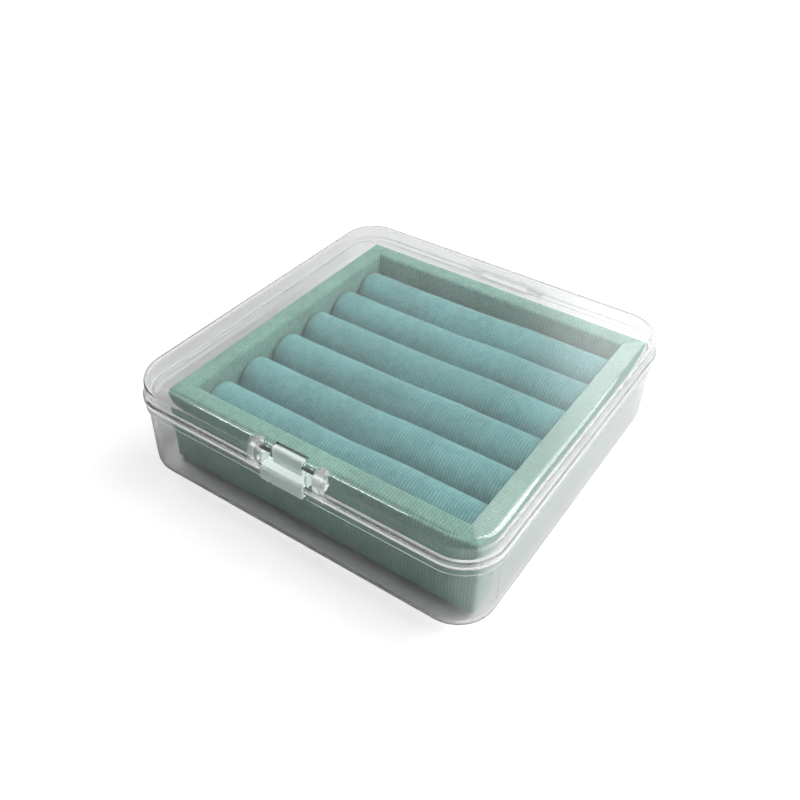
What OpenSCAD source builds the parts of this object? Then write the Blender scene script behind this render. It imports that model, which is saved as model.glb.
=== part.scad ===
// Ring display box: a clear moulded case with a hinged lid and a swinging catch,
// holding a loose velvet tray with a row of soft ring rolls.
// Millimetres, +Z up, origin at the middle of the base's underside, catch towards -Y.

/* [Case] */
// Width and depth over the lid's rim
case_w = 135; // [120:1:160]
// Height of the closed case
case_h = 37.4; // [34:0.2:60]
// Height of the lid above the seam
lid_h = 9.4; // [8.4:0.2:16]
// Radius of the case's upright corners at the rim
corner_r = 14.6; // [12:0.2:22]
// Thickness of the side walls
wall_t = 1.2; // [1:0.1:1.6]
// Thickness of the base's floor
floor_t = 1.3; // [1:0.1:2]
// Thickness of the lid's top
top_t = 1.2; // [1:0.1:1.8]
// Radius of the base's lower edge
base_edge_r = 3.8; // [2.5:0.1:5]
// Radius of the lid's upper edge
lid_edge_r = 3.2; // [2.4:0.1:3.4]

/* [Rims] */
// How far the lid's rim stands out from its wall
lid_rim_out = 0.9; // [0.6:0.1:1.4]
// Height of the lid's rim
lid_rim_h = 2.1; // [1.5:0.1:2.6]
// How far the base's rim stands out from its wall
base_rim_out = 0.8; // [0.5:0.1:1.2]
// Height of the base's rim
base_rim_h = 2.8; // [2:0.1:3.6]
// Step from the lid's wall in to the base's wall
base_step = 0.2; // [0:0.1:0.5]
// Radius of the edges of the rims and the lip
rim_edge_r = 0.35; // [0.2:0.05:0.4]
// Gap between the two rims when the lid is shut
seam_gap = 0.1; // [0.05:0.05:0.2]
// Height of the base's inner lip above the seam
lip_h = 1.5; // [1:0.1:2]
// Thickness of the base's inner lip
lip_t = 0.9; // [0.7:0.1:1.2]
// Gap between the inner lip and the lid's wall
lip_gap = 0.3; // [0.2:0.05:0.5]

/* [Hinge] */
// Length of the hinge over its outer knuckles
hinge_l = 31.4; // [24:0.2:44]
// Length of each outer knuckle
knuckle_l = 5; // [3.5:0.5:6]
// Radius of the hinge knuckles
knuckle_r = 1.7; // [1.5:0.1:2.2]
// Radius of the moulded hinge and catch pins
pin_r = 0.8; // [0.7:0.05:0.9]
// Running clearance of a pin in its bore
pin_gap = 0.08; // [0.05:0.01:0.1]
// Gap between the ends of neighbouring knuckles
end_gap = 0.4; // [0.3:0.1:0.6]

/* [Catch] */
// Width between the lid's two catch ears
ear_span = 22; // [20:0.5:26]
// Thickness of each catch ear
ear_t = 2.4; // [1.6:0.1:3]
// How deep the ears reach inwards from the lid's rim
ear_depth = 4.8; // [4.6:0.1:5.2]
// Radius of the ears' bowed front
ear_bow_r = 4.9; // [4.6:0.1:5.4]
// How far the ears bow out past the lid's rim
ear_bow_out = 0.1; // [0:0.05:0.3]
// How far the middle of the bow lies below the catch's pins
ear_bow_drop = 0.6; // [0.3:0.1:0.8]
// Width of the catch over its side arms
catch_w = 17.8; // [15.6:0.2:19]
// Thickness of the catch's side arms
arm_t = 0.8; // [0.6:0.1:1.2]
// How much narrower each end of the skirt is than the arms
skirt_in = 1; // [0.8:0.1:1.6]
// Thickness of the catch's skirt
skirt_t = 1; // [0.8:0.1:1.4]
// Thickness of the catch's shoulder over the lid's rim
shoulder_t = 1.3; // [1:0.1:1.5]
// Width of the catch's thumb tongue
tongue_w = 11.2; // [9:0.2:12]
// Thickness of the catch's thumb tongue
tongue_t = 1.9; // [1.6:0.1:2.2]
// How far the tongue's front lies in front of the pins
tongue_out = 0.6; // [0.4:0.1:0.8]
// Radius of the tongue's front edge
tongue_tip_r = 1; // [0.6:0.1:1.2]
// How far the catch's pins lie below the lid's top
catch_pin_drop = 3.8; // [3.6:0.1:4]
// How far the catch's pins lie inside the lid's rim
catch_pin_in = 2.9; // [2.8:0.05:3.1]
// How far the catch's pins stick out of the ears
catch_pin_out = 1; // [0.6:0.1:1.2]
// How far the catch hangs below the seam
catch_drop = 1.5; // [1.2:0.1:2]
// How far the catch swings open, in degrees
catch_swing = 15; // [8:1:16]
// Gap between the catch and the rims it covers
catch_gap = 0.2; // [0.15:0.05:0.3]
// Radius of the bead that the catch snaps under
bead_r = 0.35; // [0.25:0.05:0.4]

/* [Tray] */
// Room between the tray and the case's wall when it stands in the middle
tray_room = 5.9; // [5:0.1:9]
// How far the tray's rim stands above the seam
tray_rise = 2.35; // [1:0.05:2.6]
// Width of the tray's rim
rim_w = 6.75; // [5:0.25:9]
// Thickness of the velvet
velvet_t = 0.6; // [0.4:0.1:1]
// Radius of the tray rim's rounded edges
rim_r = 1.4; // [1:0.1:2]
// Radius of the tray's upright corners
tray_corner_r = 1.6; // [1.2:0.1:3]
// Thickness of the tray's bottom board
board_t = 2; // [1.5:0.1:3]
// Where the tray stands in the case, left to right
tray_x = 2.2; // [-2.4:0.2:2.4]
// Where the tray stands in the case, front to back
tray_y = 1.2; // [-2.4:0.2:2.4]
// Gap between the tray and the case's floor
tray_gap = 0.15; // [0.1:0.05:0.3]

/* [Ring rolls] */
// Number of ring rolls
roll_n = 6; // [5:1:7]
// How far the rolls' tops lie below the tray's rim
roll_drop = 4; // [3:0.25:7]
// Gap between neighbouring rolls
roll_gap = 0.3; // [0.2:0.05:0.6]
// Thickness of a roll's velvet sleeve
sleeve_t = 1.2; // [0.8:0.1:1.8]
// How far a roll's ends draw in
roll_draw = 2.2; // [1:0.1:3]
// How much a roll swells towards its middle
roll_crown = 0.35; // [0:0.05:0.6]

/* [Hidden] */
$fn = 96;
SIDES = ["front", "right", "back", "left"];

// Case: half widths out to each face, and the corner axes that all of them share
rim_half = case_w / 2;
lid_half = rim_half - lid_rim_out;
lid_in_half = lid_half - wall_t;
base_half = lid_half - base_step;
base_in_half = base_half - wall_t;
base_rim_half = base_half + base_rim_out;
lip_half = lid_in_half - lip_gap;
axis_half = rim_half - corner_r;
floor_edge_r = base_edge_r - wall_t;
top_edge_r = lid_edge_r - top_t;
seam_h = case_h - lid_h;
lid_z = seam_h + seam_gap;
lid_rim_top = seam_h + lid_rim_h;
base_rim_low = seam_h - base_rim_h;

// Hinge: its pin line lies behind the rims, level with the seam
hinge_y = rim_half + catch_gap + knuckle_r;
hinge_z = seam_h;
bore_r = pin_r + pin_gap;
outer_knuckle_x = hinge_l / 2 - knuckle_l;
inner_knuckle_half = outer_knuckle_x - end_gap;
hinge_pin_end = hinge_l / 2 - end_gap;

// Ears: bows that stand in the lid's front wall and carry the catch's pins
pin_y = -(rim_half - catch_pin_in);
pin_z = case_h - catch_pin_drop;
ear_out_y = -(rim_half + ear_bow_out);
ear_in_y = -(rim_half - ear_depth);
ear_out_x = ear_span / 2 + ear_t;
ear_low = seam_h + lip_h + lip_gap;
bow_z = pin_z - ear_bow_drop;
window_low = lid_rim_top + seam_gap;
window_high = case_h - top_t - lip_gap;

// Catch: a skirt outside the rims, a shoulder over the lid's rim, a tongue and two arms
skirt_in_y = -(rim_half + catch_gap);
skirt_out_y = skirt_in_y - skirt_t;
skirt_half = catch_w / 2 - skirt_in;
shoulder_low = lid_rim_top + 2 * catch_gap;
shoulder_high = shoulder_low + shoulder_t;
tongue_out_y = pin_y - tongue_out;
tongue_in_y = tongue_out_y + tongue_t;
tongue_top = case_h;
shoulder_in_y = pin_y + tongue_out;
arm_bow_r = ear_bow_r - catch_gap;
arm_out_y = ear_out_y + catch_gap;
arm_in_y = pin_y + pin_r + catch_gap;
arm_top = pin_z + 2 * pin_r;
catch_low = seam_h - catch_drop;
catch_pin_end = ear_out_x + catch_pin_out;

// Bead on the base and the barb below it
bead_z = seam_h - bead_r - seam_gap;
bead_half = tongue_w / 2;
barb_in_y = -(base_half + bead_r + seam_gap);
barb_top = bead_z - bead_r - seam_gap;
barb_lean = bead_r;

// Openings that the catch needs: in the lid's top up to the swung tongue, and in the base's rim
notch_half = tongue_w / 2 + end_gap;
notch_y = pin_y + (tongue_in_y - pin_y) * cos(catch_swing)
          + (tongue_top - pin_z) * sin(catch_swing) + catch_gap;
catch_notch_half = skirt_half + catch_gap;

// Tray: heights of its parts and the space between its rails
tray_low = floor_t + tray_gap;
tray_top = seam_h + tray_rise;
tray_half = base_in_half - tray_room;
well_half = tray_half - rim_w;
board_low = tray_low + velvet_t;
board_top = board_low + board_t;

// Ring rolls: a round top on straight sides, one beside the next
roll_pitch = 2 * well_half / roll_n;
roll_r = (roll_pitch - roll_gap) / 2;
roll_half_l = well_half - roll_gap;
roll_top = tray_top - roll_drop;
roll_axis_z = roll_top - roll_r - roll_crown;
core_r = roll_r - sleeve_t;
core_half_l = roll_half_l - sleeve_t - roll_draw / 2;
roll_facets = 22;
roll_steps = 5;

function roll_y(n) = tray_y + well_half - (n - 0.5) * roll_pitch;

// Sweeps a profile, drawn outwards from the corner axes, round the case's square plan
module around_case() {
    side = 2 * axis_half;
    for (turn = [0:3])
        rotate([0, 0, turn * 90]) {
            translate([axis_half, axis_half, 0])
                rotate_extrude(angle = 90)
                    children();
            translate([axis_half, 0, 0])
                rotate([90, 0, 0])
                    linear_extrude(height = side, center = true)
                        children();
        }
}

// A bar along X with the given profile in Y and Z
module bar_x(half_l) {
    rotate([90, 0, 90])
        linear_extrude(height = 2 * half_l, center = true)
            children();
}

// The same thing on both sides of the case's middle
module both_sides() {
    children();
    mirror([1, 0, 0])
        children();
}

// A rectangle with round corners between two opposite corners
module rounded(low, high, r) {
    size = high - low;
    translate(low + [r, 0])
        square(size - [2 * r, 0]);
    translate(low + [0, r])
        square(size - [0, 2 * r]);
    for (x = [low[0] + r, high[0] - r], y = [low[1] + r, high[1] - r])
        translate([x, y])
            circle(r);
}

// Profile of the base: floor, wall, rim and inner lip, outwards from the corner axes
module base_profile() {
    out = base_half - axis_half;
    in = base_in_half - axis_half;
    lip_out = lip_half - axis_half;
    lip_in = lip_out - lip_t;
    rim_out = base_rim_half - axis_half;
    difference() {
        square([out, seam_h]);
        difference() {
            translate([-1, floor_t])
                square([in + 1, seam_h]);
            translate([in - floor_edge_r, floor_t])
                difference() {
                    square(floor_edge_r);
                    translate([0, floor_edge_r])
                        circle(floor_edge_r);
                }
        }
        difference() {
            translate([out - base_edge_r, -1])
                square([base_edge_r + 1, base_edge_r + 1]);
            translate([out - base_edge_r, base_edge_r])
                circle(base_edge_r);
        }
    }
    rounded([in, base_rim_low], [rim_out, seam_h], rim_edge_r);
    translate([lip_in, seam_h - lip_h])
        square([in - lip_in, lip_h]);
    rounded([lip_in, seam_h - lip_h], [lip_out, seam_h + lip_h], rim_edge_r);
}

// Profile of the lid: top, rounded edge, wall and rim, outwards from the corner axes
module lid_profile() {
    out = lid_half - axis_half;
    in = lid_in_half - axis_half;
    rim_out = rim_half - axis_half;
    difference() {
        translate([0, lid_z])
            square([out, case_h - lid_z]);
        difference() {
            translate([-1, lid_z - 1])
                square([in + 1, case_h - top_t - lid_z + 1]);
            translate([in - top_edge_r, case_h - top_t - top_edge_r])
                difference() {
                    square(top_edge_r);
                    circle(top_edge_r);
                }
        }
        difference() {
            translate([out - lid_edge_r, case_h - lid_edge_r])
                square([lid_edge_r + 1, lid_edge_r + 1]);
            translate([out - lid_edge_r, case_h - lid_edge_r])
                circle(lid_edge_r);
        }
    }
    rounded([in, lid_z], [rim_out, lid_rim_top], rim_edge_r);
}

// One knuckle of the hinge with the arm that joins it to a rim, in Y and Z
module knuckle_profile(root_y, low, high) {
    translate([hinge_y, hinge_z])
        circle(knuckle_r);
    polygon([[root_y, low], [hinge_y, low], [hinge_y, high], [root_y, high]]);
}

module base_shell() {
    color([0.93, 0.95, 0.95, 0.4])
    difference() {
        union() {
            around_case()
                base_profile();
            translate([-axis_half, -axis_half, 0])
                cube([2 * axis_half, 2 * axis_half, floor_t]);
            both_sides()
                translate([outer_knuckle_x + knuckle_l / 2, 0, 0])
                    bar_x(knuckle_l / 2)
                        knuckle_profile(base_half, seam_h - knuckle_r, seam_h);
        }
        // Bores for the lid's hinge pins
        translate([0, hinge_y, hinge_z])
            rotate([0, 90, 0])
                cylinder(r = bore_r, h = hinge_l + 2, center = true);
        // Gap in the rim behind the catch
        translate([-catch_notch_half, -(base_rim_half + 1), base_rim_low - 1])
            cube([2 * catch_notch_half, base_rim_out + 1, base_rim_h + 2]);
    }
    // Bead that the catch snaps under
    color([0.93, 0.95, 0.95, 0.4])
    translate([0, -base_half, bead_z])
        bar_x(bead_half)
            difference() {
                circle(bead_r);
                translate([0, -bead_r])
                    square(2 * bead_r);
            }
}

// Outline of a catch ear: a bow from the lid's top down into its rim, in Y and Z
module ear_profile(bow_r, front, low, high, back) {
    intersection() {
        translate([front + bow_r, bow_z])
            circle(bow_r);
        translate([front, low])
            square([back - front, high - low]);
    }
}

module lid_shell() {
    color([0.93, 0.95, 0.95, 0.4])
    difference() {
        union() {
            around_case()
                lid_profile();
            translate([-axis_half, -axis_half, case_h - top_t])
                cube([2 * axis_half, 2 * axis_half, top_t]);
            // Ears beside the catch
            both_sides()
                translate([(ear_span + ear_t) / 2, 0, 0])
                    bar_x(ear_t / 2)
                        ear_profile(ear_bow_r, ear_out_y, ear_low, case_h, ear_in_y);
            // Middle knuckle of the hinge and its two pins
            bar_x(inner_knuckle_half)
                knuckle_profile(lid_half, lid_z, seam_h + knuckle_r);
            translate([0, hinge_y, hinge_z])
                rotate([0, 90, 0])
                    cylinder(r = pin_r, h = 2 * hinge_pin_end, center = true);
        }
        // Bores for the catch's pins
        translate([0, pin_y, pin_z])
            rotate([0, 90, 0])
                cylinder(r = bore_r, h = 2 * (catch_pin_end + end_gap), center = true);
        // Window in the wall between the ears
        translate([-ear_span / 2, -(rim_half + 1), window_low])
            cube([ear_span, rim_half + 1 + ear_in_y, window_high - window_low]);
        // Notch in the top for the catch's tongue
        translate([-notch_half, -(rim_half + 1), window_low])
            cube([2 * notch_half, rim_half + 1 + notch_y, case_h]);
    }
}

// The catch: a skirt over the rims, a thumb tongue above it and two side arms with pins
module latch_clip() {
    color([0.93, 0.95, 0.95, 0.4]) {
        // Skirt with its barb, and the shoulder that carries it over the lid's rim
        bar_x(skirt_half)
            polygon([[tongue_out_y, shoulder_high], [skirt_in_y, shoulder_high - catch_gap],
                     [skirt_out_y, shoulder_low], [skirt_out_y, catch_low],
                     [barb_in_y, catch_low], [barb_in_y, barb_top - barb_lean], [skirt_in_y, barb_top],
                     [skirt_in_y, shoulder_low], [shoulder_in_y, shoulder_low], [shoulder_in_y, shoulder_high]]);
        bar_x(catch_w / 2)
            polygon([[tongue_out_y, shoulder_high], [tongue_out_y - tongue_out, shoulder_low],
                     [shoulder_in_y, shoulder_low], [shoulder_in_y, shoulder_high]]);
        // Thumb tongue with a rounded front edge
        bar_x(tongue_w / 2) {
            translate([tongue_out_y, shoulder_high])
                square([tongue_t, tongue_top - tongue_tip_r - shoulder_high]);
            translate([tongue_out_y + tongue_tip_r, tongue_top - tongue_tip_r])
                circle(tongue_tip_r);
            translate([tongue_out_y + tongue_tip_r, tongue_top - 2 * tongue_tip_r])
                square([tongue_t - tongue_tip_r, 2 * tongue_tip_r]);
        }
        // Side arms and their pins
        both_sides() {
            translate([(catch_w - arm_t) / 2, 0, 0])
                bar_x(arm_t / 2)
                    ear_profile(arm_bow_r, arm_out_y, shoulder_low, arm_top, arm_in_y);
            translate([0, pin_y, pin_z])
                rotate([0, 90, 0]) {
                    translate([0, 0, (catch_w - arm_t) / 2])
                        cylinder(r = pin_r, h = ear_out_x - (catch_w - arm_t) / 2);
                    translate([0, 0, ear_out_x])
                        cylinder(r1 = pin_r, r2 = pin_r / 2, h = catch_pin_out);
                }
        }
    }
}

module tray_board() {
    color([0.55, 0.5, 0.42])
    translate([tray_x - well_half, tray_y - well_half, board_low])
        cube([2 * well_half, 2 * well_half, board_t]);
}

// A straight bar along the tray's front, an allowance inside the velvet's outer face
module rail_bar(inset) {
    reach = tray_half - inset;
    intersection() {
        translate([0, -tray_half, 0])
            bar_x(tray_half)
                rounded([inset, tray_low + inset], [rim_w - inset, tray_top - inset], rim_r - inset);
        linear_extrude(height = case_h)
            rounded([-reach, -reach], [reach, reach], tray_corner_r - inset);
    }
}

// Cuts a front bar to a mitre at both ends
module mitred() {
    reach = tray_half + 1;
    intersection() {
        children();
        linear_extrude(height = case_h)
            polygon([[0, 0], [-reach, -reach], [reach, -reach]]);
    }
}

// Puts a front rail on one side of the tray
module placed(quarter) {
    translate([tray_x, tray_y, 0])
        rotate([0, 0, quarter * 90])
            children();
}

module rail(quarter) {
    color([0.78, 0.65, 0.48])
    placed(quarter)
        mitred()
            rail_bar(velvet_t);
}

module rail_velvet(quarter) {
    color([0.57, 0.75, 0.73])
    placed(quarter)
        mitred()
            difference() {
                rail_bar(0);
                rail_bar(velvet_t);
            }
}

module roll_core(n) {
    color([0.9, 0.9, 0.86])
    translate([tray_x, roll_y(n), 0])
        bar_x(core_half_l) {
            translate([0, roll_axis_z])
                circle(core_r);
            translate([-core_r, board_top + sleeve_t])
                square([2 * core_r, roll_axis_z - board_top - sleeve_t]);
        }
}

// A roll's outer form: stations along its length, each a round-topped outline that
// draws in towards the ends and swells towards the middle
function draw_at(t) = roll_draw * (1 - sqrt(1 - pow(t, 2)));
function outline_at(x, inset) =
    let (crown = roll_crown * (1 - pow(x / roll_half_l, 2)),
         r = roll_r - inset)
    concat([[x, -r, board_top]],
           [for (k = [0:roll_facets])
               let (a = 180 - k * 180 / roll_facets)
               [x, r * cos(a), roll_axis_z + (r + crown) * sin(a)]],
           [[x, r, board_top]]);
function roll_stations() =
    concat([for (k = [roll_steps:-1:1]) [-roll_half_l + roll_draw * (1 - k / roll_steps), k / roll_steps]],
           [for (k = [-3:3]) [k * (roll_half_l - roll_draw) / 3, 0]],
           [for (k = [1:roll_steps]) [roll_half_l - roll_draw * (1 - k / roll_steps), k / roll_steps]]);

module roll_form() {
    stations = roll_stations();
    rings = [for (s = stations) outline_at(s[0], draw_at(s[1]))];
    count = len(rings[0]);
    last = len(rings) - 1;
    points = [for (ring = rings, p = ring) p];
    sides = [for (i = [0:last - 1], k = [0:count - 1])
        let (a = i * count + k, b = i * count + (k + 1) % count)
        each [[a, b, a + count], [b, b + count, a + count]]];
    near_cap = [for (k = [1:count - 2]) [0, k + 1, k]];
    far_cap = [for (k = [1:count - 2]) [last * count, last * count + k, last * count + k + 1]];
    polyhedron(points = points, faces = concat(sides, near_cap, far_cap));
}

module roll_velvet(n) {
    color([0.57, 0.75, 0.73])
    difference() {
        translate([tray_x, roll_y(n), 0])
            roll_form();
        roll_core(n);
    }
}

base_shell();
lid_shell();
latch_clip();
tray_board();
for (k = [0:3]) {
    rail(k);
    rail_velvet(k);
}
for (n = [1:roll_n]) {
    roll_core(n);
    roll_velvet(n);
}
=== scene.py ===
"""Looks of a ring display box: a clear hinged case round a velvet tray with six soft ring rolls."""

import logging
import math
from dataclasses import dataclass
from dataclasses import field
from enum import Enum

import bmesh
import bpy
from mathutils import Matrix
from mathutils import Vector
from mathutils import noise


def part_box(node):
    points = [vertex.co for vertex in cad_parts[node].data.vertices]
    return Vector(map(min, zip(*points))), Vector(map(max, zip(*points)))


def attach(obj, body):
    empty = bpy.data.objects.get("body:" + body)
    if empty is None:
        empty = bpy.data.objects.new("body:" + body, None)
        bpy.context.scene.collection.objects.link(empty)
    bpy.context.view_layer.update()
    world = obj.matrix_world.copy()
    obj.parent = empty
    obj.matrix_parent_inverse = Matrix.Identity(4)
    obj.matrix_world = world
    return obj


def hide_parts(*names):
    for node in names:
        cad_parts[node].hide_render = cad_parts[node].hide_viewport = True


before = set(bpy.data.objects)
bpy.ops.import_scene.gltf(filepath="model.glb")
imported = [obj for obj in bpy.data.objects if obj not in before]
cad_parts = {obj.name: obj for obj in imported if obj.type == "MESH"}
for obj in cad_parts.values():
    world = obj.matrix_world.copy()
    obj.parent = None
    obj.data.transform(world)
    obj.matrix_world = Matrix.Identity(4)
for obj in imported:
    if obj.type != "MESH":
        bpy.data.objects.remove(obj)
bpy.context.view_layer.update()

LOG = logging.getLogger("ring_display_box")
Colour = tuple[float, float, float]


class RibAxis(Enum):
    """The direction along which a velvet's ribs follow one another."""

    X = (1.0, 0.0, 0.0)
    Y = (0.0, 1.0, 0.0)


class TraySide(Enum):
    """A side of the tray, as quarter turns from the front."""

    FRONT = 0
    RIGHT = 1
    BACK = 2
    LEFT = 3

    @property
    def rib_axis(self) -> RibAxis:
        """The ribs wrap round a rail, so they follow one another along its length."""
        return RibAxis.X if self.value % 2 == 0 else RibAxis.Y


def mesh_object(name: str, form: bmesh.types.BMesh) -> bpy.types.Object:
    """Makes a smooth-shaded object at the origin from a bmesh in metres.

    Args:
        name: The piece's name.
        form: The shape, which is freed.

    Returns:
        The new object, linked to the scene.
    """
    mesh = bpy.data.meshes.new(name)
    form.to_mesh(mesh)
    form.free()
    mesh.shade_smooth()
    piece = bpy.data.objects.new(name, mesh)
    bpy.context.scene.collection.objects.link(piece)
    return piece


def apply_modifiers(piece: bpy.types.Object) -> None:
    """Turns a piece's live modifiers into its mesh.

    Args:
        piece: The piece, whose mesh is replaced.
    """
    graph = bpy.context.evaluated_depsgraph_get()
    finished = bpy.data.meshes.new_from_object(piece.evaluated_get(graph))
    piece.modifiers.clear()
    old = piece.data
    piece.data = finished
    bpy.data.meshes.remove(old)
    finished.name = piece.name
    finished.shade_smooth()


def dress(piece: bpy.types.Object, material: bpy.types.Material) -> None:
    """Puts one material on all of a piece's faces.

    Args:
        piece: The piece.
        material: Its finish.
    """
    if piece.data.materials:
        for index in range(len(piece.data.materials)):
            piece.data.materials[index] = material
    else:
        piece.data.materials.append(material)


def slice_form(
    form: bmesh.types.BMesh, place: Vector, across: Vector, clear_outer: bool = False
) -> list[bmesh.types.BMVert | bmesh.types.BMEdge]:
    """Cuts a whole shape with a plane.

    Args:
        form: The shape.
        place: A point on the plane.
        across: The plane's normal.
        clear_outer: Whether what lies beyond the plane goes.

    Returns:
        The vertices and edges on the cut.
    """
    whole = form.verts[:] + form.edges[:] + form.faces[:]
    cut = bmesh.ops.bisect_plane(form, geom=whole, plane_co=place, plane_no=across, clear_outer=clear_outer)
    return cut["geom_cut"]


def math_node(
    tree: bpy.types.NodeTree, operation: str, *values: bpy.types.NodeSocket | float
) -> bpy.types.NodeSocket:
    """Adds a Math node.

    Args:
        tree: The node tree.
        operation: What it does.
        values: Its inputs in order, each a socket or a constant.

    Returns:
        The result's socket.
    """
    node = tree.nodes.new("ShaderNodeMath")
    node.operation = operation
    for socket, value in zip(node.inputs, values):
        if isinstance(value, bpy.types.NodeSocket):
            tree.links.new(value, socket)
        else:
            socket.default_value = value
    return node.outputs[0]


def spread_node(
    tree: bpy.types.NodeTree,
    value: bpy.types.NodeSocket,
    source: tuple[float, float],
    target: tuple[float, float],
) -> bpy.types.NodeSocket:
    """Adds a clamped Map Range node with a soft start and end.

    Args:
        tree: The node tree.
        value: The socket that is mapped.
        source: The range that it comes from.
        target: The range that it goes to.

    Returns:
        The result's socket.
    """
    node = tree.nodes.new("ShaderNodeMapRange")
    node.interpolation_type = "SMOOTHSTEP"
    node.inputs["From Min"].default_value = source[0]
    node.inputs["From Max"].default_value = source[1]
    node.inputs["To Min"].default_value = target[0]
    node.inputs["To Max"].default_value = target[1]
    tree.links.new(value, node.inputs["Value"])
    return node.outputs["Result"]


def noise_node(
    tree: bpy.types.NodeTree,
    place: bpy.types.NodeSocket,
    scale: bpy.types.NodeSocket | float,
    detail: float = 2.0,
) -> bpy.types.NodeSocket:
    """Adds a Noise Texture.

    Args:
        tree: The node tree.
        place: The coordinates' socket.
        scale: Its scale, a socket or a constant.
        detail: Its detail.

    Returns:
        The socket of its factor.
    """
    node = tree.nodes.new("ShaderNodeTexNoise")
    node.inputs["Detail"].default_value = detail
    tree.links.new(place, node.inputs["Vector"])
    if isinstance(scale, bpy.types.NodeSocket):
        tree.links.new(scale, node.inputs["Scale"])
    else:
        node.inputs["Scale"].default_value = scale
    return node.outputs["Fac"]


def blend_colours(
    tree: bpy.types.NodeTree, factor: bpy.types.NodeSocket, low: Colour, high: Colour
) -> bpy.types.NodeSocket:
    """Mixes two colours by a mask.

    Args:
        tree: The material's node tree.
        factor: The mask's socket.
        low: The colour where the mask is 0.
        high: The colour where the mask is 1.

    Returns:
        The socket of the mixed colour.
    """
    mix = tree.nodes.new("ShaderNodeMix")
    mix.data_type = "RGBA"
    mix.inputs["A"].default_value = (*low, 1.0)
    mix.inputs["B"].default_value = (*high, 1.0)
    tree.links.new(factor, mix.inputs["Factor"])
    return mix.outputs["Result"]


def add_bump(tree: bpy.types.NodeTree, height: bpy.types.NodeSocket, distance: float) -> None:
    """Lets a height shape the Principled shader's normal.

    Args:
        tree: The material's node tree.
        height: The socket of the height, from 0 to 1.
        distance: What a height of 1 stands for, in metres.
    """
    bump = tree.nodes.new("ShaderNodeBump")
    bump.inputs["Strength"].default_value = 1.0
    bump.inputs["Distance"].default_value = distance
    tree.links.new(height, bump.inputs["Height"])
    tree.links.new(bump.outputs["Normal"], tree.nodes["Principled BSDF"].inputs["Normal"])


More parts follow.
